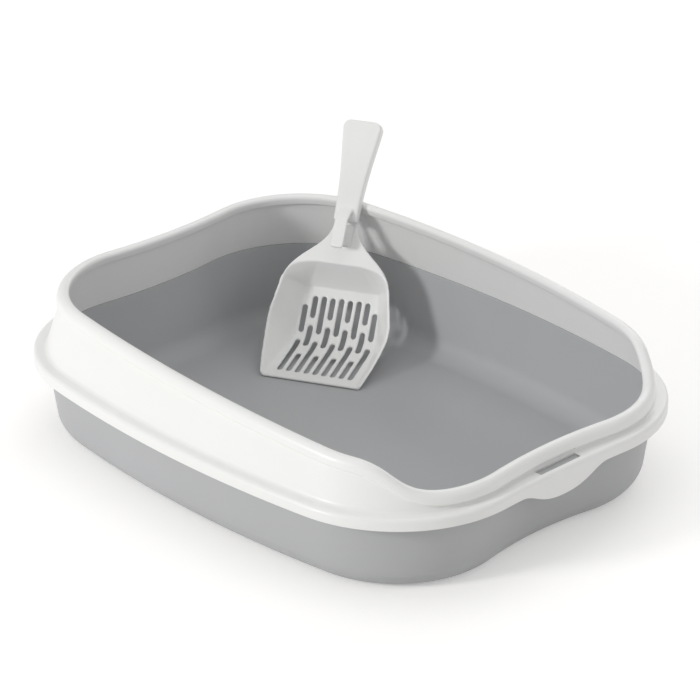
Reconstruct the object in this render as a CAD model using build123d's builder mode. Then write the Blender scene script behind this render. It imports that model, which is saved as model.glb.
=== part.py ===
import math
import os
from build123d import *

os.makedirs("parts", exist_ok=True)

# An open litter box: a deep tray, a splash surround that drops over the tray's rim, and a
# slotted scoop that stands in the tray and leans on the surround. The low entrance faces -Y,
# and the origin is the middle of the tray's underside.

# Plan shape, measured round the outside of the surround's skirt
overall_length = 500
overall_width = 400
corner_radius = 115
side_bow_radius = 1080
skirt_waist = 2
wall_waist = 5
foot_waist = 7

# Clearances and the overrun that carries every cut past the face it opens
seat_clearance = 0.3
fit_clearance = 0.6
overrun = 5

# Tray
tray_rim_height = 73
tray_rim_thickness = 2.2
tray_wall = 2.5
tray_floor = 3
tray_draft_inset = 10
tray_bottom_radius = 22

# Surround: flange, skirt and the lobes that hang from the skirt at both ends
flange_thickness = 2
flange_edge_radius = 3.5
skirt_wall = 2.2
skirt_height = 10.5
gutter_inset = 11
gutter_radius = 4
lobe_width = 100
lobe_depth = 13
lobe_foot_share = 0.32
lobe_belly_share = 0.58

# Surround: release slot in the flange above each lobe, and the tray's lug that shows in it
slot_length = 46
slot_width = 7.5
slot_corner_radius = 1.2
slot_back_margin = 1.5
lug_clearance = 1
lug_drop = 0.8

# Surround: leaning wall and its rounded lip
wall_thickness = 2.2
wall_lean = 16.7
lip_width = 10
lip_height = 10
lip_top_radius = 4.4
lip_under_radius = 2.4
wall_top_share = 0.35
crest_height = 127.8
sill_height = 88.5
side_fall_radius = 6300
rise_setback = 14
rise_run_share = 1.63
rise_pull_share = 0.5

# Scoop: floor, bowl and slots
scoop_wall = 2.2
front_length = 66
rear_length = 52
floor_bend = 51
bend_radius = 24
tip_half_width = 45
crease_half_width = 40
rear_half_width = 34
rear_top_half_width = 20
tip_depth = 2.8
crease_depth = 31.5
bowl_depth = 32.5
tip_mouth_half_width = 46.5
tip_corner_radius = 7
mouth_half_width = 56.5
rear_mouth_half_width = 50
shoulder_half_width = 37
rear_wall_run = 18
bowl_corner_radius = 7
front_station_shares = (1, 0.72, 0.44)
bend_station_shares = (0, 0.25, 0.5, 0.75, 1)
section_fan_height = 80
scoop_slot_width = 4.6
scoop_slot_pitch = 8.1
scoop_slot_columns = 9
long_rear_shares = (0.165, 0.82)
edge_rear_shares = (0.165, 0.645)
short_rear_shares = (0.43, 0.81)
long_front_shares = (0.03, 0.82)
short_front_shares = (0.335, 0.82)
middle_rear_share = 0.29
middle_front_share = 0.12

# Scoop: shoulder, neck, hook tongue and handle
neck_half_width = 10.8
neck_thickness = 3
shoulder_length = 36
handle_length = 91
handle_half_width = 18
handle_rise = 6.5
handle_skin = 2.5
handle_corner_radius = 7
handle_edge_radius = 2
hook_gap = 14
hook_run = 14
tongue_width = 11.7
tongue_length = 26
tongue_end_radius = 3
window_width = 15
window_length = 19
shoulder_pull_shares = (0.85, 0.43, 0.55)
handle_pull_shares = (0.5, 0.8)

# Scoop: where it stands
scoop_heading = 27.5
scoop_lean = 4.1
scoop_side_step = 18.4

half_length = overall_length / 2
half_width = overall_width / 2
flange_bottom = tray_rim_height + seat_clearance
flange_top = flange_bottom + flange_thickness
skirt_bottom = flange_top - skirt_height
lip_half = lip_width / 2
lean_slope = math.tan(math.radians(wall_lean))
rise_start_y = rise_setback - half_length
rise_end_y = rise_start_y + (crest_height - sill_height) * rise_run_share


def corner_centre():
    """Centre of the +X +Y corner arc, which every outline of the same plan shares."""
    corner_y = half_length - corner_radius
    bow_x = half_width - side_bow_radius
    corner_x = bow_x + math.sqrt((side_bow_radius - corner_radius) ** 2 - corner_y**2)
    return Vector(corner_x, corner_y)


def plan_outline(height, inset, waist):
    """Waisted rounded rectangle of eight tangent arcs, set in from the skirt's outline."""
    end_y = half_length - inset
    side_x = half_width - inset
    corner = corner_radius - inset
    centre = corner_centre()
    bow_centre = Vector(half_width - side_bow_radius, 0)
    arc_span = (centre.X**2 + waist**2) / (2 * waist)
    hollow_centre = Vector(0, end_y - waist + arc_span - corner)
    to_hollow = (hollow_centre - centre).normalized()
    to_side = (centre - bow_centre).normalized()
    end_point = centre + to_hollow * corner
    side_point = centre + to_side * corner
    corner_point = centre + (to_hollow + to_side).normalized() * corner
    with BuildSketch(Plane.XY.offset(height)) as outline:
        with BuildLine():
            end = ThreePointArc((-end_point.X, end_point.Y), (0, end_y - waist), end_point)
            side = ThreePointArc(side_point, (side_x, 0), (side_point.X, -side_point.Y))
            corner_arc = ThreePointArc(end_point, corner_point, side_point)
            mirror(end, about=Plane.XZ)
            mirror(side, about=Plane.YZ)
            opposite = mirror(corner_arc, about=Plane.YZ)
            mirror([corner_arc, opposite], about=Plane.XZ)
        make_face()
    return outline.sketch


def wall_inset(height):
    """Inset of the leaning wall's outer face at a height above the floor."""
    return gutter_inset + (height - flange_top) * lean_slope


def crest_at(y):
    """Height of the lip's crest along the sides and the back."""
    return crest_height - side_fall_radius + math.sqrt(side_fall_radius**2 - (half_length - y) ** 2)


def rim_region(top_drop, bottom):
    """Side view of what lies under the lip's crest, down to a flat or a parallel lower edge."""
    rise_top = crest_at(rise_end_y)
    slope = (half_length - rise_end_y) / side_fall_radius
    pull = (rise_end_y - rise_start_y) * rise_pull_share
    front_y = -half_length - overrun
    back_y = half_length + overrun
    middle_y = (rise_end_y + half_length) / 2

    def crest_line(drop):
        sill = sill_height - drop
        Line((front_y, sill), (rise_start_y, sill))
        Bezier(
            (rise_start_y, sill),
            (rise_start_y + pull, sill),
            (rise_end_y - pull, rise_top - drop - pull * slope),
            (rise_end_y, rise_top - drop),
        )
        ThreePointArc(
            (rise_end_y, rise_top - drop),
            (middle_y, crest_at(middle_y) - drop),
            (half_length, crest_height - drop),
        )
        Line((half_length, crest_height - drop), (back_y, crest_height - drop))

    with BuildSketch(Plane.YZ) as region:
        with BuildLine():
            crest_line(top_drop)
            if bottom is None:
                crest_line(lip_height)
                Line((front_y, sill_height), (front_y, sill_height - lip_height))
                Line((back_y, crest_height), (back_y, crest_height - lip_height))
            else:
                Line((front_y, sill_height - top_drop), (front_y, bottom))
                Line((front_y, bottom), (back_y, bottom))
                Line((back_y, bottom), (back_y, crest_height - top_drop))
        make_face()
    return region.sketch


def leaning_block(step, low, high):
    """Solid with the wall's lean, its side faces set in from the wall's outer face by a step."""
    return [
        plan_outline(low, wall_inset(low) + step, wall_waist),
        plan_outline(high, wall_inset(high) + step, wall_waist),
    ]


# Tray: a drafted pan with a large bottom radius and a turned-out rim
rim_inset = gutter_inset + wall_thickness - tray_wall
foot_inset = rim_inset + tray_draft_inset
hollow_top = tray_rim_height + overrun
hollow_growth = tray_draft_inset / tray_rim_height

with BuildPart() as tray_hollow:
    loft(
        [
            plan_outline(tray_floor, foot_inset + tray_wall - tray_floor * hollow_growth, foot_waist),
            plan_outline(hollow_top, rim_inset + tray_wall - overrun * hollow_growth, wall_waist),
        ],
        ruled=True,
    )
    fillet(tray_hollow.edges().group_by(Axis.Z)[0], radius=tray_bottom_radius - tray_wall)

slot_y = half_length - gutter_inset - wall_waist + slot_back_margin + slot_width / 2

with BuildPart() as tray:
    loft(
        [plan_outline(0, foot_inset, foot_waist), plan_outline(tray_rim_height, rim_inset, wall_waist)],
        ruled=True,
    )
    fillet(tray.edges().group_by(Axis.Z)[0], radius=tray_bottom_radius)
    rim_bottom = tray_rim_height - tray_rim_thickness
    extrude(plan_outline(rim_bottom, skirt_wall + fit_clearance, skirt_waist), amount=tray_rim_thickness)
    add(tray_hollow.part, mode=Mode.SUBTRACT)
    with BuildSketch(Plane.XY.offset(tray_rim_height)):
        with GridLocations(0, 2 * slot_y, 1, 2):
            RectangleRounded(
                slot_length - 2 * lug_clearance, slot_width - 2 * lug_clearance, slot_corner_radius
            )
    extrude(amount=flange_top - lug_drop - tray_rim_height)

tray.part.label = "tray"
export_step(tray.part, "parts/tray.step")

# Surround: the rounded lip, a bead that follows the crest all the way round
lip_low = skirt_bottom
lip_high = crest_height + overrun
lip_outer_step = wall_thickness / 2 - lip_half
lip_inner_step = wall_thickness / 2 + lip_half

with BuildPart() as lip:
    loft(leaning_block(lip_outer_step, lip_low, lip_high), ruled=True)
    loft(leaning_block(lip_inner_step, lip_low, lip_high), ruled=True, mode=Mode.SUBTRACT)
    extrude(rim_region(0, None), amount=overall_width, both=True, mode=Mode.INTERSECT)
    top_faces = lip.faces().filter_by(lambda face: face.normal_at().Z > 0.5)
    fillet(top_faces.edges().filter_by(Axis.X, reverse=True), radius=lip_top_radius)
    under_faces = lip.faces().filter_by(lambda face: face.normal_at().Z < -0.5)
    fillet(under_faces.edges().filter_by(Axis.X, reverse=True), radius=lip_under_radius)

# Surround: the leaning wall, trimmed inside the lip
with BuildPart() as upstand:
    loft(leaning_block(0, flange_bottom, lip_high), ruled=True)
    wall_region = rim_region(lip_height * wall_top_share, flange_bottom)
    extrude(wall_region, amount=overall_width, both=True, mode=Mode.INTERSECT)

with BuildPart() as mouth:
    loft(leaning_block(wall_thickness, skirt_bottom, lip_high), ruled=True)

with BuildPart() as surround:
    lobe_bottom = skirt_bottom - lobe_depth
    extrude(plan_outline(lobe_bottom, 0, skirt_waist), amount=flange_top - lobe_bottom)
    fillet(surround.edges().group_by(Axis.Z)[-1], radius=flange_edge_radius)
    extrude(
        plan_outline(lobe_bottom, skirt_wall, skirt_waist),
        amount=flange_bottom - lobe_bottom,
        mode=Mode.SUBTRACT,
    )
    # Everything below the skirt goes, except the lobe in the middle of each end
    with BuildSketch(Plane.XZ):
        with BuildLine():
            lobe_half = lobe_width / 2
            foot = lobe_half * lobe_foot_share
            belly = lobe_half * lobe_belly_share
            reach = half_width + overrun
            Line((-reach, skirt_bottom), (-lobe_half, skirt_bottom))
            Bezier(
                (-lobe_half, skirt_bottom),
                (foot - lobe_half, skirt_bottom),
                (-belly, lobe_bottom),
                (0, lobe_bottom),
            )
            Bezier(
                (0, lobe_bottom),
                (belly, lobe_bottom),
                (lobe_half - foot, skirt_bottom),
                (lobe_half, skirt_bottom),
            )
            Polyline(
                (lobe_half, skirt_bottom),
                (reach, skirt_bottom),
                (reach, lobe_bottom - overrun),
                (-reach, lobe_bottom - overrun),
                (-reach, skirt_bottom),
            )
        make_face()
    extrude(amount=overall_length, both=True, mode=Mode.SUBTRACT)
    add(upstand.part)
    gutter = surround.edges(Select.LAST).filter_by_position(Axis.Z, flange_top, flange_top)
    fillet(gutter, radius=gutter_radius)
    add(mouth.part, mode=Mode.SUBTRACT)
    with BuildSketch(Plane.XY.offset(flange_bottom)):
        with GridLocations(0, 2 * slot_y, 1, 2):
            RectangleRounded(slot_length, slot_width, slot_corner_radius)
    extrude(amount=flange_thickness + gutter_radius, mode=Mode.SUBTRACT)
    add(lip.part)

surround.part.label = "splash_surround"
export_step(surround.part, "parts/splash_surround.step")


# Scoop, modelled level: the front of its floor lies on the XY plane with the crease on the X
# axis, the tip towards -Y, and the rear of the floor climbs towards the handle.
bend = math.radians(floor_bend)
bend_run = bend_radius * math.tan(bend / 2)
rear_wall_rise = bowl_depth - neck_thickness / 2
rear_wall_slope = rear_wall_rise / rear_wall_run


def blend(start, end, share):
    """Value part of the way from one size to another."""
    return start + (end - start) * share


def rear_plane(lift):
    """Plane parallel to the rear of the floor, lifted towards the open side of the bowl."""
    origin = (0, -lift * math.sin(bend), lift * math.cos(bend))
    return Plane(origin, x_dir=(1, 0, 0), z_dir=(0, -math.sin(bend), math.cos(bend)))


def cross_plane(along, lift, turn):
    """Plane across the scoop at a distance along a floor line that climbs at a turn."""
    origin = (
        0,
        along * math.cos(turn) - lift * math.sin(turn),
        along * math.sin(turn) + lift * math.cos(turn),
    )
    return Plane(origin, x_dir=(1, 0, 0), z_dir=(0, -math.cos(turn), -math.sin(turn)))


def trough(plane, floor_half, mouth_half, depth, skin):
    """Flared trough section with rounded lower corners; a skin gives the hollow inside it."""
    flare = (mouth_half - floor_half) / depth
    side_skin = skin * math.hypot(1, flare)
    top = depth + (overrun if skin else 0)
    corner = (bowl_corner_radius - skin) * depth / bowl_depth
    floor_x = floor_half + flare * skin - side_skin
    top_x = floor_half + flare * top - side_skin
    with BuildSketch(plane) as section:
        with BuildLine():
            Polyline((-top_x, top), (-floor_x, skin), (floor_x, skin), (top_x, top), close=True)
        make_face()
        fillet(section.vertices().group_by(Axis.Y)[0], radius=corner)
    return section.sketch


def floor_point(along):
    """Point on the floor's underside, in the middle plane, at a distance along from the crease."""
    if along < -bend_run:
        return Vector(0, along, 0)
    if along > bend_run:
        return Vector(0, along * math.cos(bend), along * math.sin(bend))
    turn = bend * (along + bend_run) / (2 * bend_run)
    return Vector(0, bend_radius * math.sin(turn) - bend_run, bend_radius * (1 - math.cos(turn)))


def bowl_section(place, skin):
    """Section of the bowl at a place from -1, the tip, through 0, the crease, to 1, the rear."""
    if place < 0:
        point = floor_point(place * front_length)
        floor_half = blend(crease_half_width, tip_half_width, -place)
        mouth_half = blend(mouth_half_width, tip_mouth_half_width, place**2)
        depth = blend(crease_depth, tip_depth, -place)
    else:
        point = floor_point(place * rear_length)
        floor_half = blend(crease_half_width, rear_half_width, place)
        mouth_half = blend(mouth_half_width, rear_mouth_half_width, place**2)
        depth = blend(crease_depth, bowl_depth, place)
    # Sections near the bend fan out from a line above the mouth, so that they never cross
    fan_y = -section_fan_height * math.sin(bend / 2)
    fan_z = section_fan_height * math.cos(bend / 2)
    turn = min(max(math.atan2(point.Y - fan_y, fan_z - point.Z), 0), bend)
    plane = Plane(point, x_dir=(1, 0, 0), z_dir=(0, -math.cos(turn), -math.sin(turn)))
    return trough(plane, floor_half, mouth_half, depth, skin)


def bowl_stations(rear_end):
    """Places of the bowl's sections, closer together where the floor bends."""
    front = [-share for share in front_station_shares]
    bend_start = -bend_run / front_length
    bend_end = bend_run / rear_length
    return front + [blend(bend_start, bend_end, share) for share in bend_station_shares] + [rear_end]


def rear_section(climb, skin):
    """Section of the rear wall part of the way up from the floor to the shoulder."""
    along = rear_length + rear_wall_run * climb
    plane = cross_plane(along, rear_wall_rise * climb, bend)
    floor_half = blend(rear_half_width, rear_top_half_width, climb)
    mouth_half = blend(rear_mouth_half_width, shoulder_half_width, climb)
    return trough(plane, floor_half, mouth_half, bowl_depth - rear_wall_rise * climb, skin)


# The hollow's rear wall stays one skin inside the outer rear wall, and runs out at the shoulder
rear_skin = scoop_wall * math.hypot(1, rear_wall_slope)
hollow_rear = 1 - (rear_skin - scoop_wall) / rear_wall_slope / rear_length
shoulder_place = rear_length + (bowl_depth - rear_skin) / rear_wall_slope

with BuildPart() as scoop_hollow:
    hollow_mouth = trough(
        cross_plane(shoulder_place, bowl_depth - scoop_wall, bend),
        rear_top_half_width,
        shoulder_half_width,
        neck_thickness,
        scoop_wall,
    )
    hollow_stations = [bowl_section(place, scoop_wall) for place in bowl_stations(hollow_rear)]
    loft(hollow_stations + [hollow_mouth], ruled=True)

shoulder_start = rear_length + scoop_wall
shoulder_start_half = blend(rear_mouth_half_width, shoulder_half_width, scoop_wall / rear_wall_run)
neck_end = rear_length + rear_wall_run + shoulder_length
handle_end = neck_end + handle_length
handle_top = bowl_depth + handle_rise


def paddle(lift, inset):
    """Outline of the flared handle, from its root at the neck to its rounded end."""
    root_half = neck_half_width - inset
    tail_half = handle_half_width - inset
    root = neck_end + inset
    tail = handle_end - inset
    flare_start = neck_end + 2 * handle_skin
    low_pull, high_pull = handle_pull_shares
    with BuildSketch(rear_plane(lift)) as outline:
        with BuildLine():
            for side in (-1, 1):
                Line((side * root_half, root), (side * root_half, flare_start))
                Bezier(
                    (side * root_half, flare_start),
                    (side * root_half, blend(flare_start, tail, low_pull)),
                    (side * tail_half, blend(flare_start, tail, high_pull)),
                    (side * tail_half, tail),
                )
            Line((-root_half, root), (root_half, root))
            Line((-tail_half, tail), (tail_half, tail))
        make_face()
        fillet(outline.vertices().group_by(Axis.Y)[-1], radius=handle_corner_radius - inset)
    return outline.sketch


# Hook tongue: it climbs from the handle's face and runs on above the neck, with a gap that
# takes the lip of the box.
tongue_end = neck_end - tongue_length
hook_top = bowl_depth + hook_gap + handle_skin
hook_base = handle_top - handle_skin / 2
hook_slope = (hook_top - hook_base) / hook_run
hook_root = neck_end + hook_run
climb_run = handle_skin * math.hypot(1, hook_slope) / hook_slope
side_plane = Plane((0, 0, 0), x_dir=(0, math.cos(bend), math.sin(bend)), z_dir=(1, 0, 0))
lift_axis = Axis((0, 0, 0), rear_plane(0).z_dir)

with BuildPart() as hook:
    with BuildSketch(side_plane):
        with BuildLine():
            Polyline(
                (hook_root, hook_base),
                (neck_end, hook_top),
                (tongue_end, hook_top),
                (tongue_end, hook_top - handle_skin),
                (neck_end - climb_run + handle_skin / hook_slope, hook_top - handle_skin),
                (hook_root - climb_run, hook_base),
                close=True,
            )
        make_face()
    extrude(amount=tongue_width / 2, both=True)
    fillet(hook.edges().filter_by(lift_axis), radius=tongue_end_radius)

# Handle: a flared paddle raised above the neck and hollow behind
handle_depth = handle_rise + neck_thickness

with BuildPart() as handle:
    extrude(paddle(handle_top, 0), amount=-handle_depth)
    fillet(handle.edges().group_by(lift_axis)[-1], radius=handle_edge_radius)
    hollow_start = bowl_depth - neck_thickness - overrun
    handle_hollow = paddle(hollow_start, handle_skin)
    extrude(handle_hollow, amount=handle_depth - handle_skin + overrun, mode=Mode.SUBTRACT)
    add(hook.part)

bisector_plane = Plane((0, 0, 0), x_dir=(1, 0, 0), z_dir=(0, -math.sin(bend / 2), math.cos(bend / 2)))
middle_lift = middle_rear_share * rear_length * math.sin(bend / 2)


def slot_rows(plane, spans):
    """Round-ended slots along the floor, each from one place to another in its own column."""
    with BuildSketch(plane) as rows:
        for column, start, end in spans:
            across = (column - (scoop_slot_columns - 1) / 2) * scoop_slot_pitch
            with Locations((across, (start + end) / 2)):
                SlotOverall(abs(end - start), scoop_slot_width, rotation=90)
    return rows.sketch


# Long slots stand in every other column; the columns between have short ones and one over the crease
rear_spans = []
front_spans = []
middle_spans = []
for column in range(scoop_slot_columns):
    rear_shares = long_rear_shares
    front_shares = long_front_shares
    if column in (0, scoop_slot_columns - 1):
        rear_shares = edge_rear_shares
    if column % 2:
        rear_shares = short_rear_shares
        front_shares = short_front_shares
        middle_start = -middle_front_share * front_length * math.cos(bend / 2)
        middle_end = middle_rear_share * rear_length * math.cos(bend / 2)
        middle_spans.append((column, middle_start, middle_end))
    rear_spans.append((column, rear_length * rear_shares[0], rear_length * rear_shares[1]))
    front_spans.append((column, -front_length * front_shares[0], -front_length * front_shares[1]))

with BuildPart() as scoop_level:
    outer_stations = [bowl_section(place, 0) for place in bowl_stations(1)]
    loft(outer_stations + [rear_section(1, 0)], ruled=True)
    # Round the tip's corners: the outline of the mouth at the tip, carried on past the handle
    tip_half = tip_mouth_half_width + seat_clearance
    tip_flare = 2 * (mouth_half_width - tip_mouth_half_width) / front_length
    tail_half = tip_half + tip_flare * (front_length + handle_end)
    with BuildSketch(Plane.XY.offset(-overrun)) as tip_plan:
        with BuildLine():
            Polyline(
                (-tip_half, -front_length),
                (tip_half, -front_length),
                (tail_half, handle_end),
                (-tail_half, handle_end),
                close=True,
            )
        make_face()
        fillet(tip_plan.vertices().group_by(Axis.Y)[0], radius=tip_corner_radius)
    extrude(amount=handle_end, mode=Mode.INTERSECT)
    # Shoulder plate, from the bowl's rear corners in to the neck
    with BuildSketch(rear_plane(bowl_depth)):
        with BuildLine():
            half_pull, low_pull, high_pull = shoulder_pull_shares
            Bezier(
                (shoulder_start_half, shoulder_start),
                (shoulder_start_half * half_pull, blend(shoulder_start, neck_end, low_pull)),
                (neck_half_width, blend(shoulder_start, neck_end, high_pull)),
                (neck_half_width, neck_end),
            )
            Line((neck_half_width, neck_end), (neck_half_width, neck_end + handle_skin))
            Line((0, neck_end + handle_skin), (neck_half_width, neck_end + handle_skin))
            Line((0, shoulder_start), (shoulder_start_half, shoulder_start))
            mirror(about=Plane.YZ)
        make_face()
    extrude(amount=-neck_thickness)
    add(scoop_hollow.part, mode=Mode.SUBTRACT)
    # Window in the neck, under the hook tongue
    window_middle = neck_end - handle_skin - window_length / 2
    with BuildSketch(rear_plane(bowl_depth)):
        with Locations((0, window_middle)):
            RectangleRounded(window_width, window_length, handle_edge_radius)
    extrude(amount=-neck_thickness, mode=Mode.SUBTRACT)
    add(handle.part)
    slot_depth = scoop_wall + 2 * overrun
    extrude(slot_rows(rear_plane(-overrun), rear_spans), amount=slot_depth, mode=Mode.SUBTRACT)
    extrude(slot_rows(Plane.XY.offset(-overrun), front_spans), amount=slot_depth, mode=Mode.SUBTRACT)
    middle_rows = slot_rows(bisector_plane.offset(-overrun), middle_spans)
    extrude(middle_rows, amount=slot_depth + middle_lift, mode=Mode.SUBTRACT)

# Where the scoop stands: its tip on the tray's floor and the back of its neck on the lip. The
# corner arc of the lip is level with the neck, so its centre gives how far the neck can go.
heading = math.radians(scoop_heading)
lean = math.radians(scoop_lean)
along_floor = Vector(math.cos(heading), math.sin(heading))
across_floor = Vector(math.sin(heading), -math.cos(heading))
neck_angle = bend + lean
neck_back = bowl_depth - neck_thickness
neck_reach = neck_back * -math.sin(neck_angle)
neck_lift = neck_back * math.cos(neck_angle)
stand_height = tray_floor + seat_clearance + front_length * math.sin(lean)
crest_radius = corner_radius - wall_inset(crest_height - lip_half) - wall_thickness / 2
lip_reach = math.sqrt(crest_radius**2 - (scoop_side_step + neck_half_width) ** 2)
lip_lift = crest_height - lip_half + (lip_half + fit_clearance) / math.cos(neck_angle)
neck_run = neck_reach + (lip_lift - stand_height - neck_lift) / math.tan(neck_angle)
stand_point = corner_centre() + across_floor * scoop_side_step + along_floor * (lip_reach - neck_run)
stand_plane = Plane(
    (stand_point.X, stand_point.Y, stand_height),
    x_dir=across_floor,
    z_dir=Vector(0, 0, math.cos(lean)) - along_floor * math.sin(lean),
)

with BuildPart() as scoop:
    with Locations(stand_plane):
        add(scoop_level.part)

scoop.part.label = "scoop"
export_step(scoop.part, "parts/scoop.step")
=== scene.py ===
import math
import bmesh
import bpy
import numpy as np
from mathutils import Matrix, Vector


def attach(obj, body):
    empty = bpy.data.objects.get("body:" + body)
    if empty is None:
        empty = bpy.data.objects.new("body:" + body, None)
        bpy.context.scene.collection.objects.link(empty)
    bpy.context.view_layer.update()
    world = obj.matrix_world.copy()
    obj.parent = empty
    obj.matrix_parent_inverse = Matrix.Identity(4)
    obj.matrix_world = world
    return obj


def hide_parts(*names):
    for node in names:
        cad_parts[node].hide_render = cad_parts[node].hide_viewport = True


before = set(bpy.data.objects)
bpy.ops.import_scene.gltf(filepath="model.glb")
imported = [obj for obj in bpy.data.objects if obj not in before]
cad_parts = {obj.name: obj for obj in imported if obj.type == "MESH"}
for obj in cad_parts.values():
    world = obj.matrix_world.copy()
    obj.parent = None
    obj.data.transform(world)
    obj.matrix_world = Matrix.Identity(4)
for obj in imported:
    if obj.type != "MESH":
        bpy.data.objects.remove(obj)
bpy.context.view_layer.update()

scene = bpy.context.scene
mm = 0.001

# edges of the drawn pieces that fold by more than this many degrees stay crisp
foldAngle = 32

# plan of the box: eight tangent arcs, sizes in mm, and how many columns each arc gets
plan = {
    "length": 500, "width": 400, "cornerRadius": 115, "sideBowRadius": 1080,
    "endSteps": 40, "cornerSteps": 64, "sideSteps": 26,
}
cornerY = plan["length"] / 2 - plan["cornerRadius"]
bowX = plan["width"] / 2 - plan["sideBowRadius"]
cornerX = bowX + math.sqrt((plan["sideBowRadius"] - plan["cornerRadius"]) ** 2 - cornerY**2)


def columnsRound():
    # one quarter runs from the middle of an end to the middle of a side; the other three mirror it
    steps = (plan["endSteps"], plan["cornerSteps"], plan["sideSteps"])
    arc = np.append(np.repeat((0, 1, 2), steps), 2)
    share = np.append(np.concatenate([np.arange(n) / n for n in steps]), 1.0)
    last = sum(steps)
    forth = np.arange(last)
    order = np.concatenate([forth, last - forth, forth, last - forth])
    signX = np.repeat((1, 1, -1, -1), last)
    signY = np.repeat((1, -1, -1, 1), last)
    return arc[order], share[order], signX, signY


arcOf, shareOf, signX, signY = columnsRound()


def planPoints(inset, waist):
    # x and y of the outline, set in by inset: a hollow end arc, a corner arc round a shared centre
    # and a bowed side arc
    corner = plan["cornerRadius"] - inset
    span = (cornerX**2 + waist**2) / (2 * waist)
    turn = np.arctan2(cornerX, span - waist)
    hollowY = plan["length"] / 2 - waist + span - plan["cornerRadius"]
    onEnd = turn * shareOf
    endX, endY = (span - corner) * np.sin(onEnd), hollowY - (span - corner) * np.cos(onEnd)
    sideTurn = math.atan2(cornerY, cornerX - bowX)
    onCorner = np.pi / 2 + turn + (sideTurn - np.pi / 2 - turn) * shareOf
    roundX, roundY = cornerX + corner * np.cos(onCorner), cornerY + corner * np.sin(onCorner)
    onSide = sideTurn * (1 - shareOf)
    bow = plan["sideBowRadius"] - inset
    sideX, sideY = bowX + bow * np.cos(onSide), bow * np.sin(onSide)
    x = np.where(arcOf == 0, endX, np.where(arcOf == 1, roundX, sideX))
    y = np.where(arcOf == 0, endY, np.where(arcOf == 1, roundY, sideY))
    return x * signX, y * signY


def arcRows(inset, height, radius, start, end, steps):
    # rows on an arc of the profile, angles in degrees from straight out, up positive
    turn = np.radians(np.linspace(start, end, steps))
    return [(inset - radius * math.cos(a), height + radius * math.sin(a)) for a in turn]


def between(first, last, share):
    return first + (last - first) * share


def dress(piece, material, body, node, sharpAngle):
    # smooth shading up to an angle, one material, and the body the piece moves with
    scene.collection.objects.link(piece)
    piece.data.materials.clear()
    piece.data.materials.append(material)
    piece.data.shade_smooth()
    piece.data.set_sharp_from_angle(angle=math.radians(sharpAngle))
    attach(piece, body)
    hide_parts(node)
    return piece


def pieceFromGrid(name, points, ringed, material, body, node):
    # rows of points become quads and columns close on themselves; a ringed grid closes its rows too,
    # and any other gets a pole at each end
    rows, columns = points.shape[:2]
    index = np.arange(rows * columns).reshape(rows, columns)
    below = index if ringed else index[:-1]
    above = np.roll(index, -1, axis=0) if ringed else index[1:]
    corners = [below, np.roll(below, -1, 1), np.roll(above, -1, 1), above]
    faces = np.stack(corners, -1).reshape(-1, 4).tolist()
    vertices = points.reshape(-1, 3)
    if not ringed:
        poles = np.stack([points[0].mean(0), points[-1].mean(0)])
        vertices = np.vstack([vertices, poles])
        for ring, pole in ((index[0], rows * columns), (index[-1], rows * columns + 1)):
            fan = np.stack([ring, np.roll(ring, -1), np.full(columns, pole)], -1)
            faces += fan.tolist()
    mesh = bpy.data.meshes.new(name)
    mesh.from_pydata((vertices * mm).tolist(), [], faces)
    work = bmesh.new()
    work.from_mesh(mesh)
    bmesh.ops.recalc_face_normals(work, faces=work.faces)
    work.to_mesh(mesh)
    work.free()
    return dress(bpy.data.objects.new(name, mesh), material, body, node, foldAngle)


def meshAsShaped(piece):
    # the piece's mesh with its modifiers worked in
    shaped = piece.evaluated_get(bpy.context.evaluated_depsgraph_get())
    return bpy.data.meshes.new_from_object(shaped)


# materials, with the noise levels between which the shade and the shine change
cloudSpan = (0.3, 0.7)
rubSpan = (0.35, 0.65)


def toLinear(hexColour):
    srgb = np.array([int(hexColour[i:i + 2], 16) / 255 for i in (1, 3, 5)])
    linear = np.where(srgb <= 0.04045, srgb / 12.92, ((srgb + 0.055) / 1.055) ** 2.4)
    return (*linear.tolist(), 1.0)


def addNode(tree, kind, settings, links):
    # settings go to the node's sockets or properties, links name a socket and where it is fed from
    node = tree.nodes.new(kind)
    for key, value in settings.items():
        if key in node.inputs:
            node.inputs[key].default_value = value
        else:
            setattr(node, key, value)
    for key, source in links.items():
        tree.links.new(source, node.inputs[key])
    return node


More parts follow.
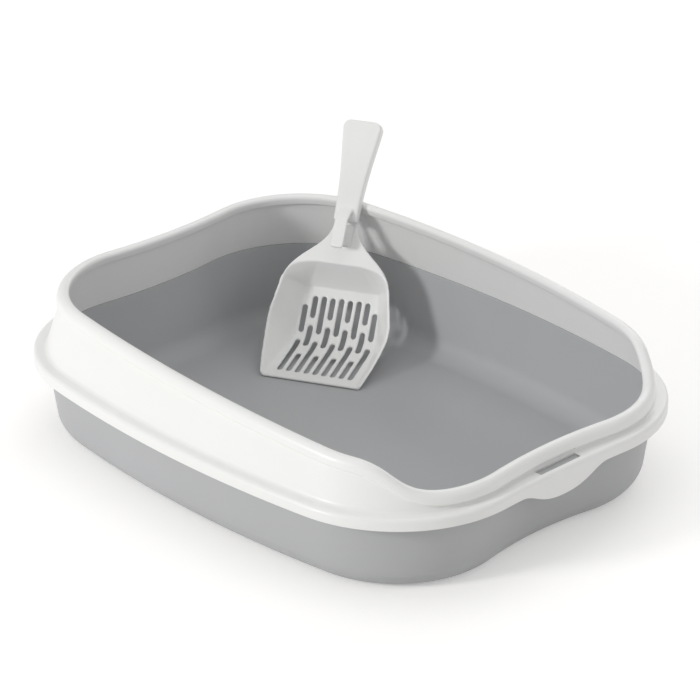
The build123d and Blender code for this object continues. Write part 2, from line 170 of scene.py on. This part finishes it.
def mouldedPlastic(name, finish):
    # injection moulded polypropylene: an even dye, cloudy by a shade where the melt flowed, a spark-eroded
    # grain from the mould and rubbed patches that shine a little more
    material = bpy.data.materials.new(name)
    material.use_nodes = True
    tree = material.node_tree
    tree.nodes.clear()
    place = addNode(tree, "ShaderNodeTexCoord", {}, {}).outputs["Object"]
    cloud, rub, grain = (
        addNode(
            tree, "ShaderNodeTexNoise",
            {"Scale": 1 / (finish[size] * mm), "Detail": detail}, {"Vector": place},
        )
        for size, detail in (("cloudSize", 3), ("rubSize", 5), ("grainSize", 2))
    )
    shade = addNode(tree, "ShaderNodeValToRGB", {}, {"Fac": cloud.outputs["Fac"]})
    colours = (finish["shadeColour"], finish["colour"])
    for stop, position, colour in zip(shade.color_ramp.elements, cloudSpan, colours):
        stop.position = position
        stop.color = toLinear(colour)
    gloss = addNode(
        tree, "ShaderNodeMapRange",
        {
            "From Min": rubSpan[0], "From Max": rubSpan[1],
            "To Min": finish["smooth"], "To Max": finish["rough"],
        },
        {"Value": rub.outputs["Fac"]},
    )
    bump = addNode(
        tree, "ShaderNodeBump",
        {"Strength": finish["grainStrength"], "Distance": finish["grainDepth"] * mm},
        {"Height": grain.outputs["Fac"]},
    )
    surface = addNode(
        tree, "ShaderNodeBsdfPrincipled", {"IOR": 1.49, "Specular IOR Level": 0.5},
        {
            "Base Color": shade.outputs["Color"], "Roughness": gloss.outputs["Result"],
            "Normal": bump.outputs["Normal"],
        },
    )
    addNode(tree, "ShaderNodeOutputMaterial", {}, {"Surface": surface.outputs["BSDF"]})
    return material


# sizes in mm; the grain is 0.15 mm on such mouldings, drawn coarser here so that it shows
whiteFinish = {
    "colour": "#F4F4F3", "shadeColour": "#F1F1EF", "cloudSize": 160,
    "rubSize": 70, "smooth": 0.3, "rough": 0.36,
    "grainSize": 0.9, "grainStrength": 0.12, "grainDepth": 0.05,
}
scoopFinish = {**whiteFinish, "cloudSize": 60, "rubSize": 30}
greyFinish = {
    "colour": "#B9BABC", "shadeColour": "#B5B6B7", "cloudSize": 160,
    "rubSize": 70, "smooth": 0.42, "rough": 0.52,
    "grainSize": 1.1, "grainStrength": 0.22, "grainDepth": 0.06,
}
whitePlastic = mouldedPlastic("whitePolypropyleneSatin", whiteFinish)
scoopPlastic = mouldedPlastic("whitePolypropyleneScoop", scoopFinish)
greyPlastic = mouldedPlastic("greyPolypropyleneMatt", greyFinish)
print("materials made")

# tray: drafted pan, large bottom radius, turned-out rim, all sizes in mm
tray = {
    "rimHeight": 73, "rimThickness": 2.2, "wall": 2.5, "floor": 3, "draft": 10, "bottomRadius": 22,
    "rimInset": 10.7, "footWaist": 7, "wallWaist": 5, "flangeInset": 2.8, "flangeWaist": 2,
    "edgeRadius": 0.7, "rootRun": 2, "rootEase": 0.6,
    "bottomSteps": 18, "wallSteps": 12, "edgeSteps": 5, "floorShares": (0.25, 0.5, 0.75, 0.92),
}


def trayProfile():
    # rows of inset, height and scale: out along the underside, up the wall, over the rim
    # and down the inside
    slope = tray["draft"] / tray["rimHeight"]
    lean = math.degrees(math.atan(slope))
    top, edge, edgeSteps = tray["rimHeight"], tray["edgeRadius"], tray["edgeSteps"]
    under = top - tray["rimThickness"]
    run, ease = tray["rootRun"], tray["rootEase"]

    def wallInset(z):
        return tray["rimInset"] + (top - z) * slope

    def bottom(radius, floor, step):
        centre = wallInset(floor + radius) + step + radius / math.cos(math.radians(lean))
        return arcRows(centre, floor + radius, radius, -90, -lean, tray["bottomSteps"])

    outer = bottom(tray["bottomRadius"], 0, 0)
    inner = bottom(tray["bottomRadius"] - tray["wall"], tray["floor"], tray["wall"])[::-1]
    outer += [(wallInset(z), z) for z in np.linspace(outer[-1][1], under - run, tray["wallSteps"])[1:]]
    outer += [(wallInset(under) - ease, under - ease), (wallInset(under) - run, under)]
    rim = arcRows(tray["flangeInset"] + edge, under + edge, edge, -90, 0, edgeSteps)
    rim += arcRows(tray["flangeInset"] + edge, top - edge, edge, 0, 90, edgeSteps)
    inside = wallInset(top) + tray["wall"]
    rim += arcRows(inside - edge, top - edge, -edge, -90, 0, edgeSteps)
    heights = np.linspace(top - edge, inner[0][1], tray["wallSteps"])[1:-1]
    inner = [(wallInset(z) + tray["wall"], z) for z in heights] + inner
    rows = [(*outer[0], scale) for scale in tray["floorShares"]]
    rows += [(*row, 1) for row in outer + rim + inner]
    rows += [(*inner[-1], scale) for scale in tray["floorShares"][::-1]]
    return np.array(rows)


def trayPoints():
    # the profile carried round the plan, its waist changing with height and out along the rim
    inset, height, scale = (column[:, None] for column in trayProfile().T)
    waist = tray["footWaist"] + (tray["wallWaist"] - tray["footWaist"]) * height / tray["rimHeight"]
    outward = np.clip((tray["rimInset"] - inset) / (tray["rimInset"] - tray["flangeInset"]), 0, 1)
    waist = between(waist, tray["flangeWaist"], outward)
    x, y = planPoints(inset, waist)
    return np.stack([x * scale, y * scale, np.broadcast_to(height, x.shape)], -1)


trayPiece = pieceFromGrid("tray_pan", trayPoints(), False, greyPlastic, "tray", "tray")
print("tray made", len(trayPiece.data.vertices))

# splash surround: skirt with lobes, flange, gutter, leaning wall and rounded lip, all sizes in mm;
# the shares are where the rows of points lie along each stretch of the profile
surround = {
    "flangeTop": 75.3, "flangeBottom": 73.3, "skirtBottom": 64.8, "skirtWall": 2.2, "skirtWaist": 2,
    "edgeRadius": 3.5, "wallInset": 11, "wallWaist": 5, "wall": 2.2, "lean": 16.7, "gutterRadius": 4,
    "lipWidth": 10, "lipHeight": 10, "lipTopRadius": 4.4, "lipUnderRadius": 2.4,
    "lipRoot": 0.9, "lipEase": 0.2, "lipEaseDrop": 0.1,
    "crest": 127.8, "sill": 88.5, "fallRadius": 6300, "riseStart": -236, "riseEnd": -172, "risePull": 0.5,
    "crestGuess": 110, "settleRounds": 4,
    "lobeWidth": 100, "lobeDepth": 13, "lobeFoot": 0.32, "lobeBelly": 0.58, "lobeZone": 200,
    "cornerDrop": 1, "footRise": 0.7, "footEase": 0.1,
    "slotLength": 46, "slotWidth": 7.5, "slotRadius": 1.2, "slotY": 239.25, "slotBelow": 2, "slotAbove": 5,
    "skirtSteps": 6, "edgeSteps": 9, "gutterSteps": 9, "lipTopSteps": 11, "lipUnderSteps": 7,
    "flangeShares": (0.33, 0.66), "outerShares": (0.2, 0.4, 0.6, 0.8, 0.94),
    "innerShares": (0.06, 0.2, 0.4, 0.6, 0.8, 1), "underShares": (0.3, 0.6, 0.9),
    "skirtShares": (0.35, 0.7, 1), "footShares": (0.75, 0.25),
}
curveSteps = 200


def bezierAt(points, where):
    # height of a cubic curve over a place along its first axis
    t = np.linspace(0, 1, curveSteps)[:, None]
    p = np.array(points, float)
    curve = (1 - t) ** 3 * p[0] + 3 * (1 - t) ** 2 * t * p[1] + 3 * (1 - t) * t**2 * p[2] + t**3 * p[3]
    return np.interp(where, curve[:, 0], curve[:, 1])


def crestAt(y):
    # flat sill at the entrance, an S rise round the front corners, then a shallow arc up to the back
    back, fall = plan["length"] / 2, surround["fallRadius"]
    arc = surround["crest"] - fall + np.sqrt(fall**2 - (back - y) ** 2)
    start, end, sill = surround["riseStart"], surround["riseEnd"], surround["sill"]
    top = surround["crest"] - fall + math.sqrt(fall**2 - (back - end) ** 2)
    pull = (end - start) * surround["risePull"]
    drop = pull * (back - end) / fall
    rise = bezierAt([(start, sill), (start + pull, sill), (end - pull, top - drop), (end, top)], y)
    return np.where(y > end, arc, np.where(y < start, sill, rise))


def lobeAt(x):
    # how far the skirt hangs down at a place across the end
    half, depth = surround["lobeWidth"] / 2, surround["lobeDepth"]
    foot, belly = half * surround["lobeFoot"], half * surround["lobeBelly"]
    return depth - bezierAt([(-half, depth), (foot - half, depth), (-belly, 0), (0, 0)], -np.abs(x))


def lipSection():
    # steps in from the wall's outer face and drops from the crest, round the bead from outside to inside
    half, wall = surround["lipWidth"] / 2, surround["wall"]
    outer, inner = wall / 2 - half, wall / 2 + half
    top, under, deep = surround["lipTopRadius"], surround["lipUnderRadius"], surround["lipHeight"]
    topSteps, underSteps = surround["lipTopSteps"], surround["lipUnderSteps"]
    root, ease, easeDrop = surround["lipRoot"], surround["lipEase"], surround["lipEaseDrop"]

    def corner(step, drop, radius, start, end, steps):
        turn = np.radians(np.linspace(start, end, steps))
        return [(step + radius * math.cos(a), drop - radius * math.sin(a)) for a in turn]

    section = [(-ease, deep + easeDrop), (-root, deep)]
    section += corner(outer + under, deep - under, under, 270, 180, underSteps)
    section += corner(outer + top, top, top, 180, 90, topSteps)
    section += corner(inner - top, top, top, 90, 0, topSteps)
    section += corner(inner - under, deep - under, under, 0, -90, underSteps)
    return section + [(wall + root, deep), (wall + ease, deep + easeDrop)]


def surroundPoints():
    # the closed profile carried round the plan: each row is inset, height and waist for every column
    lean = math.tan(math.radians(surround["lean"]))
    ones = np.ones(len(arcOf))
    wallWaist, skirtWaist = surround["wallWaist"], surround["skirtWaist"]
    flangeTop, flangeBottom = surround["flangeTop"], surround["flangeBottom"]
    skirt, edge, radius = surround["skirtWall"], surround["edgeRadius"], surround["gutterRadius"]

    def wallInset(z):
        return surround["wallInset"] + (z - flangeTop) * lean

    # the crest's height follows from where the leaning lip lies, so a few rounds settle the two
    crest = surround["crestGuess"] * ones
    for _ in range(surround["settleRounds"]):
        middle = wallInset(crest - surround["lipHeight"] / 2) + surround["wall"] / 2
        crest = crestAt(planPoints(middle[None], wallWaist)[1][0])

    # outside of the skirt, which hangs lower in a lobe at each end, and the flange's rounded edge
    x, y = planPoints(0 * ones[None], skirtWaist)
    bottom = surround["skirtBottom"] - np.where(np.abs(y[0]) > surround["lobeZone"], lobeAt(x[0]), 0)
    foot = bottom + surround["footRise"]
    shares = np.linspace(0, 1, surround["skirtSteps"])
    rows = [(0 * ones, between(foot, flangeTop - edge, share), skirtWaist) for share in shares]
    rounded = arcRows(edge, flangeTop - edge, edge, 0, 90, surround["edgeSteps"])[1:]
    rows += [(inset * ones, height * ones, skirtWaist) for inset, height in rounded]

    # top of the flange and the gutter's radius up to the wall
    gutter = surround["wallInset"] - radius / math.tan(math.radians(90 + surround["lean"]) / 2)
    for share in surround["flangeShares"]:
        inset, waist = between(edge, gutter, share), between(skirtWaist, wallWaist, share)
        rows.append((inset * ones, flangeTop * ones, waist))
    for turn in np.radians(np.linspace(-90, -surround["lean"], surround["gutterSteps"])):
        inset, height = gutter + radius * math.cos(turn), flangeTop + radius + radius * math.sin(turn)
        rows.append((inset * ones, height * ones, wallWaist))

    # outside of the leaning wall, the lip and the inside of the wall
    low, high = rows[-1][1], crest - surround["lipHeight"]
    for share in surround["outerShares"]:
        z = between(low, high, share)
        rows.append((wallInset(z), z, wallWaist))
    rows += [(wallInset(crest - drop) + step, crest - drop, wallWaist) for step, drop in lipSection()]
    for share in surround["innerShares"]:
        z = between(high, flangeBottom, share)
        rows.append((wallInset(z) + surround["wall"], z, wallWaist))

    # underside of the flange, inside of the skirt and its eased foot
    root, corner = wallInset(flangeBottom) + surround["wall"], flangeBottom - surround["cornerDrop"]
    for share in surround["underShares"]:
        inset, waist = between(root, skirt, share), between(wallWaist, skirtWaist, share)
        rows.append((inset * ones, flangeBottom * ones, waist))
    rows.append((skirt * ones, corner * ones, skirtWaist))
    rows += [(skirt * ones, between(corner, foot, share), skirtWaist) for share in surround["skirtShares"]]
    for share in surround["footShares"]:
        rows.append((share * skirt * ones, bottom + surround["footEase"], skirtWaist))

    inset, height = (np.array([row[k] for row in rows]) for k in (0, 1))
    waist = np.array([row[2] for row in rows])[:, None]
    x, y = planPoints(inset, waist)
    return np.stack([x, y, height], -1)


# degrees between the points of a block's rounded corner, and a nudge that puts exact zeros on one side
cornerStep = 10
nudge = 1e-6


def roundedPrism(name, length, width, radius, y, low, high):
    # a block with rounded corners: one ring of corner arcs at two heights, closed by flat ends
    turn = np.radians(np.arange(0, 360, cornerStep))
    ringX = np.sign(np.cos(turn + nudge)) * (length / 2 - radius) + radius * np.cos(turn)
    ringY = np.sign(np.sin(turn + nudge)) * (width / 2 - radius) + radius * np.sin(turn) + y
    count = len(turn)
    vertices = np.concatenate([np.stack([ringX, ringY, np.full(count, z)], -1) for z in (low, high)])
    ring = np.arange(count)
    walls = np.stack([ring, np.roll(ring, -1), np.roll(ring, -1) + count, ring + count], -1).tolist()
    mesh = bpy.data.meshes.new(name)
    mesh.from_pydata((vertices * mm).tolist(), [], walls + [ring[::-1].tolist(), (ring + count).tolist()])
    return bpy.data.objects.new(name, mesh)


surroundPiece = pieceFromGrid(
    "surround_frame", surroundPoints(), True, whitePlastic, "surround", "splash_surround",
)
for end in (-1, 1):
    cutter = roundedPrism(
        "slot_cutter", surround["slotLength"], surround["slotWidth"], surround["slotRadius"],
        end * surround["slotY"], surround["flangeBottom"] - surround["slotBelow"],
        surround["flangeTop"] + surround["slotAbove"],
    )
    scene.collection.objects.link(cutter)
    cut = surroundPiece.modifiers.new("slot", "BOOLEAN")
    cut.operation, cut.solver, cut.object = "DIFFERENCE", "EXACT", cutter
    slotted = meshAsShaped(surroundPiece)
    surroundPiece.modifiers.clear()
    surroundPiece.data = slotted
    bpy.data.objects.remove(cutter)
print("surround made", len(surroundPiece.data.vertices))

# a lug on the tray's rim fills each slot to just under the flange's top, sizes in mm
lug = {
    "length": 44, "width": 5.5, "radius": 1.2, "low": 72.6, "high": 74.5,
    "edgeWidth": 0.35, "edgeSegments": 2,
}
for name, end in (("tray_lug_front", -1), ("tray_lug_back", 1)):
    lugY = end * surround["slotY"]
    lugPiece = roundedPrism(name, lug["length"], lug["width"], lug["radius"], lugY, lug["low"], lug["high"])
    dress(lugPiece, greyPlastic, "tray", "tray", foldAngle)
    soften = lugPiece.modifiers.new("edge", "BEVEL")
    soften.width, soften.segments = lug["edgeWidth"] * mm, lug["edgeSegments"]
    soften.limit_method = "ANGLE"
print("lugs made")

# scoop: the solid's own mesh, wrapped anew in small squares and eased, so that every edge has
# a moulded radius, sizes in mm
scoop = {
    "mergeDistance": 0.01, "wrapSize": 0.75, "easing": 6, "easeShare": 0.5,
    "keptFaces": 0.35, "sharpAngle": 70,
}
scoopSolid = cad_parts["scoop"].data.copy()
merge = bmesh.new()
merge.from_mesh(scoopSolid)
bmesh.ops.remove_doubles(merge, verts=merge.verts, dist=scoop["mergeDistance"] * mm)
merge.to_mesh(scoopSolid)
merge.free()
scoopDraft = bpy.data.objects.new("scoop_draft", scoopSolid)
scene.collection.objects.link(scoopDraft)
wrap = scoopDraft.modifiers.new("wrap", "REMESH")
wrap.mode, wrap.voxel_size = "VOXEL", scoop["wrapSize"] * mm
ease = scoopDraft.modifiers.new("ease", "SMOOTH")
ease.factor, ease.iterations = scoop["easeShare"], scoop["easing"]
thin = scoopDraft.modifiers.new("thin", "DECIMATE")
thin.ratio = scoop["keptFaces"]
scoopMesh = meshAsShaped(scoopDraft)
bpy.data.objects.remove(scoopDraft)
scoopPiece = bpy.data.objects.new("scoop_moulding", scoopMesh)
dress(scoopPiece, scoopPlastic, "scoop", "scoop", scoop["sharpAngle"])
print("scoop made", len(scoopMesh.vertices))

# floor, light and camera, places in metres
studio = {
    "floorHalf": 6, "floorColour": "#F4F3F1", "floorGlow": 0.3, "worldLevel": 0.5, "lampTarget": (0, 0, 0.06),
    "camera": (-1.8307, -1.9064, 1.3851), "target": (0.0007, -0.0033, 0.0913), "lens": 183, "sensor": 36,
}
half = studio["floorHalf"]
floorMesh = bpy.data.meshes.new("studio_floor")
floorCorners = [(-half, -half, 0), (half, -half, 0), (half, half, 0), (-half, half, 0)]
floorMesh.from_pydata(floorCorners, [], [(0, 1, 2, 3)])
floor = bpy.data.objects.new("studio_floor", floorMesh)
scene.collection.objects.link(floor)

# pale paper that glows a little where the camera or a reflection sees it, and lights nothing by that
floorPaper = bpy.data.materials.new("paleStudioPaper")
floorPaper.use_nodes = True
tree = floorPaper.node_tree
tree.nodes.clear()
rays = addNode(tree, "ShaderNodeLightPath", {}, {})
seen = addNode(
    tree, "ShaderNodeMath", {"operation": "MAXIMUM"},
    {0: rays.outputs["Is Camera Ray"], 1: rays.outputs["Is Glossy Ray"]},
)
glow = addNode(tree, "ShaderNodeMath", {"operation": "MULTIPLY"}, {0: seen.outputs[0]})
glow.inputs[1].default_value = studio["floorGlow"]
paper = addNode(
    tree, "ShaderNodeBsdfPrincipled",
    {"Base Color": toLinear(studio["floorColour"]), "Roughness": 0.9, "Emission Color": (1, 1, 1, 1)},
    {"Emission Strength": glow.outputs[0]},
)
addNode(tree, "ShaderNodeOutputMaterial", {}, {"Surface": paper.outputs["BSDF"]})
floorMesh.materials.append(floorPaper)

world = bpy.data.worlds.new("studio_world")
world.use_nodes = True
scene.world = world
air = world.node_tree.nodes["Background"]
air.inputs["Color"].default_value = (1, 1, 1, 1)
air.inputs["Strength"].default_value = studio["worldLevel"]


def aimAt(name, data, place, target):
    # a lamp or camera at a place, looking at the target
    aimed = bpy.data.objects.new(name, data)
    aimed.location = place
    aimed.rotation_mode = "QUATERNION"
    aimed.rotation_quaternion = (Vector(target) - Vector(place)).to_track_quat("-Z", "Y")
    scene.collection.objects.link(aimed)
    return aimed


# soft boxes: name, place, size in metres and power in watts
lamps = (
    ("key_box", (-2.25, 0.5, 1.0), 0.45, 23),
    ("fill_box", (0.6, -1.9, 1.3), 1.6, 4),
    ("side_box", (1.9, 0.7, 1.2), 1.4, 9),
    ("top_box", (0.1, 0.1, 2.2), 1.6, 6),
)
for name, place, size, power in lamps:
    light = bpy.data.lights.new(name, "AREA")
    light.size, light.energy = size, power
    aimAt(name, light, place, studio["lampTarget"])

cameraData = bpy.data.cameras.new("photo_camera")
cameraData.lens, cameraData.sensor_width = studio["lens"], studio["sensor"]
scene.camera = aimAt("photo_camera", cameraData, studio["camera"], studio["target"])
scene.view_settings.view_transform = "Standard"
print("studio made")
